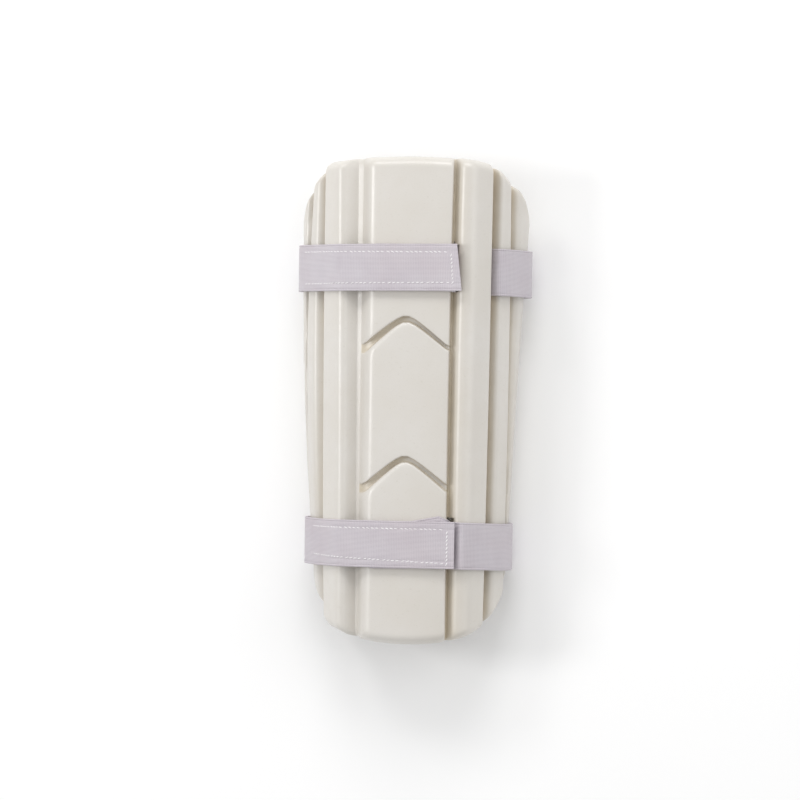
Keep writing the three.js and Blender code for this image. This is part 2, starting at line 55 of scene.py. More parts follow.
# %% [markdown]
# ## Camera
# A product picture of a flat thing is taken from high above with a long lens, so that its sides stay
# parallel. Here the camera stands a little to the right of the guard, and the guard leans a touch
# clockwise in the picture. The camera is made first, because everything after it is judged through it.

# %% Camera above the guard
CAMERA_DISTANCE = 3.0
CAMERA_TIP = math.radians(11)  # towards +X, about the long axis
CAMERA_ROLL = math.radians(0.82)
METRES_PER_PIXEL = 0.000532
PICTURE_SIDE = 800
SENSOR = 36.0
PANEL_TOP = 0.0515
CENTRE_PIXEL = (405.5, 400.5)  # where the middle of the panel shows


def picture_axes():
    right = Vector((math.cos(CAMERA_TIP), 0, -math.sin(CAMERA_TIP)))
    up = Vector((0, 1, 0))
    rolled_right = right * math.cos(CAMERA_ROLL) + up * math.sin(CAMERA_ROLL)
    rolled_up = up * math.cos(CAMERA_ROLL) - right * math.sin(CAMERA_ROLL)
    return rolled_right, rolled_up


def add_camera(centre_line_x):
    right, up = picture_axes()
    back = right.cross(up)
    aside = (CENTRE_PIXEL[0] - PICTURE_SIDE / 2) * METRES_PER_PIXEL
    below = (CENTRE_PIXEL[1] - PICTURE_SIDE / 2) * METRES_PER_PIXEL
    target = Vector((centre_line_x, 0, PANEL_TOP)) - right * aside + up * below
    data = bpy.data.cameras.new("camera")
    data.sensor_width = SENSOR
    data.lens = SENSOR * CAMERA_DISTANCE / (PICTURE_SIDE * METRES_PER_PIXEL)
    camera = bpy.data.objects.new("camera", data)
    bpy.context.scene.collection.objects.link(camera)
    place = target + back * CAMERA_DISTANCE
    turned = Matrix((right, up, back)).transposed().to_4x4()
    camera.matrix_world = Matrix.Translation(place) @ turned
    bpy.context.scene.camera = camera
    print("camera at", [round(value, 3) for value in place])


# %% [markdown]
# ## Sizes and tables of the shell
# The real shell is pressed from one sheet of foam, so every rib runs the whole length. It is described once,
# as if it were rolled out flat: a place across is 0 on the centre line, 1 outside the second rib and 2 at
# the rim. One table says how far the wall tilts there, one how high the outer face stands, and one how
# far each end falls short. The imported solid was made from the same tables, apart from a few places beside
# the right groove and along the outline, which are fitted more closely here.

# %% Named sizes
GUARD_LENGTH = 0.260
ELBOW_RIB_SPAN = 0.0585
WRIST_RIB_SPAN = 0.0535
ELBOW_EDGE_SPAN = 0.021
WRIST_EDGE_SPAN = 0.009
ELBOW_CORNER = 0.062
WRIST_CORNER = 0.062
FLOOR_THICKNESS = 0.0042
RIDGE_HEIGHT = 0.0095
END_ROUND = 0.0058
END_SHAPE = 2.4  # 2 is a quarter circle, more is squarer
END_EDGE_SHARE = 0.55
BAND_THICKNESS = 0.0014
BAND_WIDTH = 0.025
CLEARANCE = 0.0003
UPPER_STRAP_Y = 0.0708
LOWER_STRAP_Y = -0.0755
RIM_LEVEL = BAND_THICKNESS + CLEARANCE
BEND_STEPS = 80

# %% Tables of the wall
# at: tilt in degrees at the elbow end, half way and at the wrist end
TILT = [
    (-2, 112, 107, 106),
    (-1.4, 76, 85, 90),
    (-1.08, 45, 60, 70),
    (-0.95, 39, 41, 65),
    (-0.79, 43, 37, 61),
    (-0.72, 44, 32, 49),
    (-0.47, 38, 29, 35),
    (-0.37, 8, 1, 4),
    (0, 0, 0, 0),
    (0.37, 5, 5, 15),
    (0.47, 35, 38, 45),
    (0.72, 37, 48, 53),
    (0.79, 41, 53, 67),
    (0.95, 46, 66, 80),
    (1.08, 61, 83, 90),
    (1.4, 88, 99, 102),
    (2, 111, 109, 107),
]
# name: place at the elbow end, place at the wrist end, rise as a share of the ridge height,
# how far the corner is rounded in millimetres, how much brownish tone it gets: yellowed foam and painted
# shade
RELIEF = [
    ("left rim", -2, -2, -0.12, 1.5, 0.1),
    ("left third rib, outer crest", -1.55, -1.55, 0.42, 2.5, 0.05),
    ("left third rib, inner crest", -1.07, -1.22, 0.64, 1.4, 0.0),
    ("left third rib, foot", -1, -1.15, 0.05, 0.4, 0.35),
    ("left second rib, outer foot", -0.97, -1.12, 0.05, 0.3, 0.35),
    ("left second rib, outer crest", -0.95, -1.1, 0.68, 0.9, 0.0),
    ("left second rib, inner crest", -0.865, -0.925, 0.74, 2.6, 0.0),
    ("left second rib, inner foot", -0.8, -0.82, 0.05, 0.5, 0.65),
    ("left first rib, outer foot", -0.78, -0.8, 0.05, 0.3, 0.65),
    ("left first rib, outer crest", -0.76, -0.78, 0.8, 0.9, 0.0),
    ("left first rib, inner crest", -0.5, -0.52, 1, 3.8, 0.0),
    ("left first rib, inner foot", -0.45, -0.48, 0, 0.5, 0.0),
    ("panel, left foot", -0.405, -0.455, 0, 0.5, 0.0),
    ("panel, left crest", -0.33, -0.373, 0.63, 3.2, 0.0),
    ("centre line", 0, 0, 0.66, 8, 0.0),
    ("panel, right crest", 0.392, 0.372, 0.63, 0.8, 0.0),
    ("panel, right foot", 0.402, 0.382, 0.04, 0.3, 1.0),
    ("right first rib, inner foot", 0.412, 0.389, 0.06, 0.4, 0.55),
    ("right first rib, inner crest", 0.451, 0.441, 1, 4.6, 0.0),
    ("right first rib, outer crest", 0.695, 0.671, 0.8, 1.2, 0.0),
    ("right first rib, outer foot", 0.72, 0.696, 0.02, 0.5, 0.85),
    ("right second rib, inner foot", 0.76, 0.734, 0.02, 0.5, 0.7),
    ("right second rib, inner crest", 0.784, 0.759, 0.7, 2.4, 0.0),
    ("right second rib, outer crest", 0.879, 0.954, 0.62, 1.0, 0.0),
    ("right second rib, outer foot", 0.904, 0.979, 0.05, 0.4, 0.7),
    ("right third rib, foot", 0.933, 1, 0.05, 0.4, 0.7),
    ("right third rib, inner crest", 0.968, 1.03, 0.5, 2.2, 0.0),
    ("right third rib, outer crest", 1.55, 1.55, 0.42, 2.5, 0.05),
    ("right rim", 2, 2, -0.12, 1.5, 0.1),
]
# at: how far the elbow end and the wrist end fall short, as shares of their corner sizes
OUTLINE = [
    (-2, 1, 1),
    (-1.8, 0.78, 0.88),
    (-1.5, 0.58, 0.73),
    (-1.22, 0.41, 0.56),
    (-1.07, 0.29, 0.45),
    (-0.95, 0.185, 0.35),
    (-0.87, 0.13, 0.28),
    (-0.8, 0.075, 0.19),
    (-0.76, 0.05, 0.145),
    (-0.62, 0.033, 0.1),
    (-0.5, 0.025, 0.06),
    (-0.44, 0.018, 0.042),
    (-0.38, 0.012, 0.028),
    (-0.2, 0.004, 0.008),
    (0, 0, 0),
    (0.2, 0.003, 0.006),
    (0.38, 0.01, 0.029),
    (0.44, 0.012, 0.044),
    (0.5, 0.017, 0.061),
    (0.62, 0.033, 0.105),
    (0.69, 0.05, 0.14),
    (0.74, 0.075, 0.18),
    (0.8, 0.105, 0.24),
    (0.88, 0.175, 0.32),
    (0.97, 0.24, 0.42),
    (1.06, 0.28, 0.52),
    (1.3, 0.43, 0.65),
    (1.5, 0.56, 0.75),
    (1.8, 0.78, 0.88),
    (2, 1, 1),
]
# A groove dips a little into both ends of the shell: its two feet and how deep it dips in millimetres
END_NOTCHES = [
    ("left third rib, foot", "left second rib, outer foot", 0.7),
    ("left second rib, inner foot", "left first rib, outer foot", 0.7),
    ("left first rib, inner foot", "panel, left foot", 0.6),
    ("panel, right foot", "right first rib, inner foot", 0.6),
    ("right first rib, outer foot", "right second rib, inner foot", 0.7),
    ("right second rib, outer foot", "right third rib, foot", 0.7),
]
NOTCH_WIDTH = 0.020
CORNERS = {row[0]: row for row in RELIEF}
print(len(RELIEF), "corners across the shell")


# %% Read the tables
def straight_through(table, at, column):
    return np.interp(at, [row[0] for row in table], [row[column] for row in table])


def curve_through(table, at, column):
    """A smooth curve through the points of a table."""
    places = np.array([row[0] for row in table], float)
    values = np.array([row[column] for row in table], float)
    slopes = np.gradient(values, places)
    i = np.clip(np.searchsorted(places, at, side="right") - 1, 0, len(places) - 2)
    step = places[i + 1] - places[i]
    t = (at - places[i]) / step
    from_low = (1 + 2 * t) * (1 - t) ** 2 * values[i] + t * (1 - t) ** 2 * step * slopes[i]
    from_high = t**2 * (3 - 2 * t) * values[i + 1] + t**2 * (t - 1) * step * slopes[i + 1]
    return from_low + from_high


def taper(y, wrist, elbow):
    return wrist + (elbow - wrist) * (y / GUARD_LENGTH + 0.5)


def place_of(name, y):
    """Where a corner of the relief runs, at a place along the guard."""
    row = CORNERS[name]
    return taper(y, row[2], row[1])


def rib_span(y):
    return taper(y, WRIST_RIB_SPAN, ELBOW_RIB_SPAN)


def tilt_at(at, y):
    along = y / (GUARD_LENGTH / 2)
    elbow, middle, wrist = (straight_through(TILT, at, column) for column in (1, 2, 3))
    bow = (elbow + wrist) / 2 - middle
    return np.radians(middle + (elbow - wrist) / 2 * along + bow * along**2)


def walk_wall(at, y):
    """A point of the arm side, walked out from the centre line, with the wall's tilt there."""
    x = np.zeros_like(y)
    z = np.zeros_like(y)
    step = at / BEND_STEPS
    for i in range(BEND_STEPS):
        place = (i + 0.5) * step
        span = np.where(np.abs(place) < 1, rib_span(y), taper(y, WRIST_EDGE_SPAN, ELBOW_EDGE_SPAN))
        tilt = tilt_at(place, y)
        x += np.cos(tilt) * np.abs(step) * span
        z -= np.sin(tilt) * np.abs(step) * span
    return x, z, tilt_at(at, y)


def bend(at, y, height):
    """From a place across, a place along and a height above the arm side to X and Z."""
    at, y, height = np.broadcast_arrays(*(np.asarray(value, float) for value in (at, y, height)))
    x, z, tilt = walk_wall(at, y)
    side = np.where(at < 0, -1.0, 1.0)
    _, rim_z, rim_tilt = walk_wall(np.full_like(y, 2.0), y)
    _, own_z, _ = walk_wall(2 * side, y)
    rim_thickness = FLOOR_THICKNESS + RIDGE_HEIGHT * CORNERS["right rim"][3]
    lift = RIM_LEVEL - np.minimum(rim_z, rim_z + rim_thickness * np.cos(rim_tilt))
    return side * (x + height * np.sin(tilt)), z * rim_z / own_z + height * np.cos(tilt) + lift


low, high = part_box("shell")
print("shell box", [round(value, 4) for value in (*low, *high)])

# %% [markdown]
# ## Fine outer face
# A pressed rib has no sharp corner: the skin turns over each crest in a small round, wide on the inner
# side of a rib and tight beside a groove. So each corner of the profile is replaced by a short curve,
# and the mesh has its columns close together there and wide apart on the flats.

# %% Rounded profile across the guard
CORNER_STEPS = 5
FLAT_STEP = 0.0026
MEAN_RIB_SPAN = (ELBOW_RIB_SPAN + WRIST_RIB_SPAN) / 2
MEAN_EDGE_SPAN = (ELBOW_EDGE_SPAN + WRIST_EDGE_SPAN) / 2
GIRTH_PLACES = [-2, -1, 0, 1, 2]
GIRTH = [
    -MEAN_RIB_SPAN - MEAN_EDGE_SPAN,
    -MEAN_RIB_SPAN,
    0,
    MEAN_RIB_SPAN,
    MEAN_RIB_SPAN + MEAN_EDGE_SPAN,
]


def rounded(points, rounds, parts):
    """A line of points (across, up, share of brownish tone: yellowed foam and painted shade) with its corners
    turned into curves; parts per flat.
    """
    points = [np.array(point, float) for point in points]
    line = [points[0]]
    for i in range(1, len(points)):
        here = points[i]
        last = i == len(points) - 1
        start = line[-1]
        if last:
            entry = here
        else:
            into = here - points[i - 1]
            out = points[i + 1] - here
            cut_in = min(rounds[i] / np.hypot(*into[:2]), 0.45)
            cut_out = min(rounds[i] / np.hypot(*out[:2]), 0.45)
            entry = here - into * cut_in
            leave = here + out * cut_out
        for part in range(1, parts[i - 1] + 1):
            line.append(start + (entry - start) * part / parts[i - 1])
        if not last:
            for step in range(1, CORNER_STEPS + 1):
                t = step / CORNER_STEPS
                line.append(entry * (1 - t) ** 2 + here * 2 * t * (1 - t) + leave * t**2)
    return np.array(line)


def relief_columns():
    """Two versions of the profile, for the elbow end and the wrist end, point by point alike."""
    rounds = [row[4] * MM for row in RELIEF]
    versions = []
    for end in (1, 2):
        across = np.interp([row[end] for row in RELIEF], GIRTH_PLACES, GIRTH)
        points = [(a, row[3] * RIDGE_HEIGHT, row[5]) for a, row in zip(across, RELIEF)]
        if end == 1:
            steps = np.diff(across)
            parts = [max(1, math.ceil(step / FLAT_STEP)) for step in steps]
        line = rounded(points, rounds, parts)
        line[:, 0] = np.interp(line[:, 0], GIRTH, GIRTH_PLACES)
        versions.append(line)
    return versions


elbow_columns, wrist_columns = relief_columns()
print(len(elbow_columns), "columns across the shell")

# %% [markdown]
# ## Chevron grooves and rows
# Two V grooves cut the middle panel into blocks. A groove that runs slantwise over a square mesh would
# come out as a stair, so the rows of the mesh are bent into the same V, and they bunch at the lips.

# %% Chevron sizes
CHEVRON_POINT = 0.016
CHEVRON_ROUND = 0.0045
CHEVRON_FLOOR = 0.4  # of the panel's height, left in the groove
CHEVRON_REACH = 0.009  # how far from its middle a groove still bends the rows
PANEL_EDGE_AT = 0.40
# where the point of a groove lies, and how much wider it is at its left and its right end
CHEVRONS = [(0.0435, 1.55, 0.75), (-0.031, 1.5, 1.25)]
# distance from the groove's middle in millimetres, share of the panel's height on the left half and on
# the right half, and how much painted shade, as a brownish tone, it gets on the left half and on the
# right half
CHEVRON_SECTION = [
    (-7.0, 1.0, 1.0, 0.0, 0.0),
    (-4.6, 0.98, 1.0, 0.0, 0.0),
    (-3.2, 0.90, 1.0, 0.0, 0.0),
    (-2.3, 0.76, 0.97, 0.0, 0.0),
    (-1.85, 0.60, 0.88, 0.05, 0.05),
    (-1.5, 0.08, 0.10, 0.7, 0.7),
    (-1.1, 0.0, 0.02, 0.9, 0.6),
    (-0.6, 0.0, 0.04, 0.9, 0.05),
    (0.0, 0.0, 0.05, 0.9, 0.0),
    (0.6, 0.0, 0.04, 0.9, 0.05),
    (1.1, 0.0, 0.02, 0.9, 0.6),
    (1.4, 0.10, 0.10, 0.7, 0.7),
    (1.6, 0.88, 0.88, 0.1, 0.1),
    (1.9, 0.95, 0.95, 0.0, 0.0),
    (3.0, 0.97, 0.97, 0.0, 0.0),
    (6.5, 1.0, 1.0, 0.0, 0.0),
]


def chevron_drop(at):
    """How far the V has fallen below its point, at a place across."""
    span = (ELBOW_RIB_SPAN + WRIST_RIB_SPAN) / 2
    reach = np.minimum(np.abs(at), PANEL_EDGE_AT) * span
    edge = PANEL_EDGE_AT * span
    curve = np.sqrt(reach**2 + CHEVRON_ROUND**2) - CHEVRON_ROUND
    return CHEVRON_POINT * curve / (math.hypot(edge, CHEVRON_ROUND) - CHEVRON_ROUND)


def chevron_width(chevron, at):
    """How much wider the groove is at a place across than at its point."""
    return np.interp(at, [-PANEL_EDGE_AT, -0.08, 0.08, PANEL_EDGE_AT], [chevron[1], 1, 1, chevron[2]])


def chevron_cut(at, y):
    """Share of the panel's height that the grooves leave, and how much painted shade, as a brownish tone,
    they get.
    """
    share = np.ones_like(y)
    tan_stain_and_shade = np.zeros_like(y)
    offsets = [row[0] * MM for row in CHEVRON_SECTION]
    right_half = np.clip(at / 0.1 + 0.5, 0, 1)
    for chevron in CHEVRONS:
        away = (y + chevron_drop(at) - chevron[0]) / chevron_width(chevron, at)
        values = [np.interp(away, offsets, [row[k] for row in CHEVRON_SECTION]) for k in (1, 2, 3, 4)]
        share = np.minimum(share, values[0] * (1 - right_half) + values[1] * right_half)
        tan_stain_and_shade = np.maximum(tan_stain_and_shade, values[2] * (1 - right_half) + values[3] * right_half)
    share = CHEVRON_FLOOR + (1 - CHEVRON_FLOOR) * share
    foot = place_of("panel, left foot", y), place_of("panel, right foot", y)
    inside = (at > foot[0]) & (at < foot[1])
    return np.where(inside, share, 1), np.where(inside, tan_stain_and_shade, 0)


# %% Rows along the guard
ARC_SHARES = [0, 0.01, 0.035, 0.075, 0.13, 0.2, 0.29, 0.4, 0.53, 0.68, 0.84, 1]
ROW_STEP = 0.0017
LIP_STEPS = sorted(
    [-5.4, -4.6, -3.9, -3.2, -2.75, -2.3, -2.05, -1.85, -1.65, -1.5, -1.3, -1.1, -0.8, -0.4]
    + [0, 0.4, 0.8, 1.1, 1.25, 1.4, 1.5, 1.6, 1.75, 1.9, 2.4, 3.0, 4.0]
)
V_LOW, V_HIGH = -0.060, 0.060  # between these the rows follow the V


def row_places():
    """Places along the centre line between the two rounded ends."""
    reach = GUARD_LENGTH / 2 - END_ROUND
    lips = [chevron[0] + step * MM for chevron in CHEVRONS for step in LIP_STEPS]
    plain = list(np.arange(-reach, reach, ROW_STEP)[1:])
    plain = [y for y in plain if min(abs(y - lip) for lip in lips) > 0.6 * ROW_STEP]
    return np.array(sorted(plain + lips))


def end_notch(at, y):
    """How far the grooves dip into an end."""
    depth = np.zeros_like(at)
    for foot, other_foot, millimetres in END_NOTCHES:
        groove = (place_of(foot, y) + place_of(other_foot, y)) / 2
        depth = depth + millimetres * MM * np.exp(-(((at - groove) / NOTCH_WIDTH) ** 2))
    return depth


def elbow_end(at):
    return GUARD_LENGTH / 2 - ELBOW_CORNER * curve_through(OUTLINE, at, 1) - end_notch(at, GUARD_LENGTH / 2)


def wrist_end(at):
    return -GUARD_LENGTH / 2 + WRIST_CORNER * curve_through(OUTLINE, at, 2) + end_notch(at, -GUARD_LENGTH / 2)


def column_rows(elbow_at, wrist_at):
    """Y of every row of one column: rounded ends, and between them rows bent into the V."""
    at = (elbow_at + wrist_at) / 2
    low, high = wrist_end(np.array(wrist_at)), elbow_end(np.array(elbow_at))
    reach = GUARD_LENGTH / 2 - END_ROUND
    drop = chevron_drop(at)
    places = row_places()
    for chevron in CHEVRONS:
        away = places - chevron[0]
        near = np.clip((CHEVRON_REACH - np.abs(away)) / (CHEVRON_REACH - 3 * MM), 0, 1)
        places = places + away * (chevron_width(chevron, at) - 1) * near
    knots = [-reach, V_LOW, V_HIGH, reach]
    targets = [low + END_ROUND, V_LOW - drop, V_HIGH - drop, high - END_ROUND]
    middle = np.interp(places, knots, targets)
    start = low + np.array(ARC_SHARES) * END_ROUND
    end = high - np.array(ARC_SHARES[::-1]) * END_ROUND
    return np.concatenate([start, middle, end])


COLUMN_ENDS = zip(elbow_columns[:, 0], wrist_columns[:, 0])
ROW_Y = np.array([column_rows(elbow_at, wrist_at) for elbow_at, wrist_at in COLUMN_ENDS])
print(ROW_Y.shape[1], "rows along the shell, the closest", round(np.diff(ROW_Y).min() * 1000, 3), "mm apart")

# %% [markdown]
# ## A sheet with a thickness
# The shell and both straps are sheets with a front, a back and a rim. Each starts as a flat grid whose
# columns and rows are numbered, the Solidify modifier gives it the back and the rim, and code then moves
# every point to its place. A cloth simulation would soften the pressed ribs, so it is not used here.


# %% Flat grid with a back and a rim
def numbered_sheet(name, columns, rows, is_hole=None):
    """Returns the object, each point's column and row number, and whether it is on the back."""
    bpy.ops.object.select_all(action="DESELECT")
    bpy.ops.mesh.primitive_grid_add(x_subdivisions=columns - 1, y_subdivisions=rows - 1, size=2)
    sheet = bpy.context.object
    sheet.name = sheet.data.name = name
    if is_hole is not None:
        cut_holes(sheet, columns, rows, is_hole)
    solidify = sheet.modifiers.new("thickness", "SOLIDIFY")
    solidify.thickness = 0.5
    solidify.offset = -1
    bpy.ops.object.modifier_apply(modifier="thickness")
    flat = np.empty(len(sheet.data.vertices) * 3)
    sheet.data.vertices.foreach_get("co", flat)
    flat = flat.reshape(-1, 3)
    column = np.rint((flat[:, 0] + 1) / 2 * (columns - 1)).astype(int)
    row = np.rint((flat[:, 1] + 1) / 2 * (rows - 1)).astype(int)
    return sheet, column, row, flat[:, 2] < -0.25


def cut_holes(sheet, columns, rows, is_hole):
    """Deletes the faces whose middle lies in a hole."""
    bpy.ops.object.mode_set(mode="EDIT")
    bpy.ops.mesh.select_all(action="DESELECT")
    mesh = bmesh.from_edit_mesh(sheet.data)
    for face in mesh.faces:
        middle = face.calc_center_median()
        column = (middle.x + 1) / 2 * (columns - 1)
        row = (middle.y + 1) / 2 * (rows - 1)
        face.select_set(bool(is_hole(column, row)))
    bmesh.update_edit_mesh(sheet.data)
    bpy.ops.mesh.delete(type="FACE")
    bpy.ops.object.mode_set(mode="OBJECT")


def place_points(sheet, x, y, z):
    sheet.data.vertices.foreach_set("co", np.stack([x, y, z], axis=1).ravel())
    sheet.data.update()


def add_point_value(sheet, name, values):
    layer = sheet.data.attributes.new(name, "FLOAT", "POINT")
    layer.data.foreach_set("value", np.asarray(values, np.float32))


# %% Slits for the straps
SLIT_WIDTH = BAND_THICKNESS + 2 * CLEARANCE
SLIT_LENGTH = BAND_WIDTH + 0.0016


def inner_slit(y):
    return place_of("panel, right foot", y) + SLIT_WIDTH / 2 / rib_span(y), y


def outer_slit(y):
    return (place_of("right first rib, outer foot", y) + place_of("right second rib, inner foot", y)) / 2, y


SLITS = [inner_slit(UPPER_STRAP_Y), outer_slit(UPPER_STRAP_Y), inner_slit(LOWER_STRAP_Y)]


def in_slit(column, row):
    c, r = int(column), int(row)
    y = ROW_Y[c : c + 2, r : r + 2].mean()
    at = taper(y, wrist_columns[c : c + 2, 0].mean(), elbow_columns[c : c + 2, 0].mean())
    for slit_at, slit_y in SLITS:
        if abs(at - slit_at) * rib_span(y) < SLIT_WIDTH / 2 and abs(y - slit_y) < SLIT_LENGTH / 2:
            return True
    return False


# %% [markdown]
# ## The shell
# The real shell is one thick sheet of foam pressed hot between two moulds, which leaves ribs, grooves and
# a closed skin. Its ends round over, and each rib ends in its own small curve.

# %% Shell surface
LIP_ROUND = 0.0018  # how far the arm side rolls up at the ends
LIP_RISE = 0.0008


def end_round(at, y, length):
    inset = np.clip(np.minimum(elbow_end(at) - y, y - wrist_end(at)), 0, length)
    rest = 1 - inset / length
    return np.maximum(1 - rest**END_SHAPE, 0) ** (1 / END_SHAPE)


def build_shell():
    shell, column, row, back = numbered_sheet("arm_shell", *ROW_Y.shape, in_slit)
    y = ROW_Y[column, row]
    wrist_share = np.clip(0.5 - y / GUARD_LENGTH, 0, 1)[:, None]
    at, rise, relief_stain_and_shade = (elbow_columns[column] * (1 - wrist_share) + wrist_columns[column] * wrist_share).T
    rounding = end_round(at, y, END_ROUND)
    share, tan_stain_and_shade = chevron_cut(at, y)
    floor = FLOOR_THICKNESS * (END_EDGE_SHARE + (1 - END_EDGE_SHARE) * rounding)
    outer = floor + rise * rounding * share
    inner = LIP_RISE * (1 - end_round(at, y, LIP_ROUND))
    x, z = bend(at, y, np.where(back, inner, outer))
    middle = (x.min() + x.max()) / 2
    low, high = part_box("shell")
    shift = (low[0] + high[0]) / 2 - middle
    place_points(shell, x + shift, y, z)
    # Brownish tone per point for the material: yellowed foam and painted shade in the grooves, a little on
    # the back
    add_point_value(shell, "stain_and_shade", np.where(back, 0.1, np.maximum(relief_stain_and_shade, tan_stain_and_shade)))
    return shell, shift


shell, SHIFT = build_shell()
print("shell shifted", round(SHIFT * 1000, 2), "mm,", len(shell.data.polygons), "faces")
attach(shell, "root")
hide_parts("shell")

# %% [markdown]
# ## The straps
# Each strap is woven elastic, 25 mm wide, with a thicker cord along both edges. Its path round the guard
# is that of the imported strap, so the path is read from that solid: one long side of its outline is the
# outer face, the other the inner face, and the middle line runs half way between them.


# %% Middle line of a packed strap
def side_outline(node):
    """Points of the strap's side face in order, as X and Z."""
    mesh = bmesh.new()
    mesh.from_mesh(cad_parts[node].data)
    bmesh.ops.remove_doubles(mesh, verts=mesh.verts, dist=1e-6)
    side = {face for face in mesh.faces if face.normal.y > 0.99}
    border = [edge for edge in mesh.edges if sum(face in side for face in edge.link_faces) == 1]
    next_to = {}
    for edge in border:
        for a, b in (edge.verts, reversed(edge.verts)):
            next_to.setdefault(a, []).append(b)
    start = border[0].verts[0]
    loop = [start, next_to[start][0]]
    while True:
        ahead = [vert for vert in next_to[loop[-1]] if vert is not loop[-2]]
        if ahead[0] is start:
            break
        loop.append(ahead[0])
    outline = np.array([(vert.co.x, vert.co.z) for vert in loop])
    mesh.free()
    return outline


def middle_line(node):
    """Pairs the two long sides of the outline and returns the points between them."""
    outline = side_outline(node)
    count = len(outline)
    half = count // 2
    best = None
    for start in range(count):
        ahead = outline[(start + 1 + np.arange(half)) % count]
        behind = outline[(start - np.arange(half)) % count]
        apart = np.abs(np.hypot(*(ahead - behind).T) - BAND_THICKNESS).sum()
        if best is None or apart < best[0]:
            best = (apart, (ahead + behind) / 2)
    line = best[1]
    return line[::-1] if line[0, 0] > line[-1, 0] else line


def resampled(line, step):
    """The line as evenly spaced points, a little longer at its free end, with its corners eased."""
    end = line[-1] - line[-2]
    line = np.vstack([line, line[-1] + end / np.hypot(*end) * END_EXTRA])
    length = np.concatenate([[0], np.cumsum(np.hypot(*np.diff(line, axis=0).T))])
    even = np.linspace(0, length[-1], int(length[-1] / step) + 1)
    points = np.stack([np.interp(even, length, line[:, k]) for k in (0, 1)], axis=1)
    for _ in range(EASE_PASSES):
        points[1:-1] = (points[:-2] + 2 * points[1:-1] + points[2:]) / 4
    return even, points


EASE_PASSES = 6
END_EXTRA = 0.002
STRAP_STEP = 0.0008
for node in ("upper_strap", "lower_strap"):
    arc, points = resampled(middle_line(node), STRAP_STEP)
    print(node, "runs", round(arc[-1] * 1000), "mm in", len(points), "steps")

# %% [markdown]
# ## Woven band
# Seen close up the elastic has a rolled cord along each edge, a sunk line beside it and, where the end is
# sewn back, shallow valleys under the stitches. These are in the mesh. The fine ribs of the weave are
# left to the material, because they are only 0.6 mm apart.

# %% Section of the band
# distance from the edge in millimetres, half thickness in millimetres
EDGE_SECTION = [
    (0.0, 0.30),
    (0.08, 0.50),
    (0.25, 0.68),
    (0.5, 0.76),
    (0.75, 0.74),
    (0.95, 0.60),
    (1.1, 0.52),
    (1.3, 0.62),
    (1.6, 0.70),
    (2.4, 0.71),
    (3.2, 0.70),
    (3.6, 0.70),
    (4.0, 0.70),
    (4.4, 0.70),
    (5.2, 0.70),
    (7.0, 0.71),
    (9.5, 0.70),
    (12.5, 0.70),
]
STITCH_INSET = 0.0040
STITCH_VALLEY = 0.00022
VALLEY_WIDTH = 0.00045


def dip(away):
    """A soft valley, 1 in its middle and 0 far from it."""
    return np.exp(-((away / VALLEY_WIDTH) ** 2))


def band_section():
    """Distances from the lower edge and half thicknesses, across the whole band."""
    rows = [(d * MM, h * MM) for d, h in EDGE_SECTION]
    other = [(BAND_WIDTH - d, h) for d, h in rows[-2::-1]]
    return np.array(rows + other)


def build_strap(name, node, strap_y, drift, sewn_from, lift, slant):
    """Returns the band with what its stitches need: its path, how far it strays, stands off and slants."""
    arc, line = resampled(middle_line(node), STRAP_STEP)
    section = band_section()
    ahead = np.gradient(line, axis=0)
    ahead /= np.hypot(*ahead.T)[:, None]
    out = np.stack([-ahead[:, 1], ahead[:, 0]], axis=1)
    strap, column, row, back = numbered_sheet(name, len(line), len(section))
    share = arc[column] / arc[-1]
    across, half = section[row].T
    end_gap = arc[-1] - arc[column]
    sewn = np.clip((share - sewn_from) * 60, 0, 1)
    edge_gap = np.minimum(across, BAND_WIDTH - across)
    valley = dip(edge_gap - STITCH_INSET) * sewn
    end_valley = dip(end_gap - END_STITCH_GAP) * (edge_gap > STITCH_INSET - MM)
    half = half - STITCH_VALLEY * np.maximum(valley, end_valley * (share > 0.5))
    strays_along = np.interp(arc / arc[-1], [d[0] for d in drift], [d[1] * MM for d in drift])
    side = np.where(back, -1, 1)

    def raised(gap):
        """How far the free end stands off."""
        return lift * np.clip(1 - gap / LIFT_LENGTH, 0, 1) ** 2

    off = side * half + raised(end_gap) + looseness(line[column])
    x = line[column, 0] + out[column, 0] * off
    z = line[column, 1] + out[column, 1] * off
    x = x + slant * (0.5 - across / BAND_WIDTH) * np.clip(1 - end_gap / SLANT_LENGTH, 0, 1) ** 2
    y = strap_y - BAND_WIDTH / 2 + across + strays_along[column]
    place_points(strap, x, y, z)
    lay_weave(strap, arc[column], across)
    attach(strap, "root")
    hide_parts(node)
    return strap, arc, line, ahead, out, strays_along, raised, slant


END_STITCH_GAP = 0.0045
LIFT_LENGTH = 0.014
SLANT_LENGTH = 0.020
LOOSE = 0.0012  # how far the elastic stands off at the sides of the guard
LOOSE_FROM = 0.044  # how far out the sides begin
LOOSE_FADE = 0.012  # and over how much the gap opens
LOOSE_LEVEL = 0.008  # below this height the elastic lies taut


def looseness(points):
    """How far the elastic stands off at the sides, for points of its middle line."""
    points = np.asarray(points)
    aside = np.clip((np.abs(points[..., 0]) - LOOSE_FROM) / LOOSE_FADE, 0, 1)
    return LOOSE * aside * np.clip((points[..., 1] - LOOSE_LEVEL) / LOOSE_LEVEL, 0, 1)


def lay_weave(strap, along, across):
    """A UV map in metres, so that the weave follows the band."""
    layer = strap.data.uv_layers.active or strap.data.uv_layers.new(name="weave")
    corner = np.empty(len(strap.data.loops), int)
    strap.data.loops.foreach_get("vertex_index", corner)
    layer.data.foreach_set("uv", np.stack([along[corner], across[corner]], axis=1).ravel())


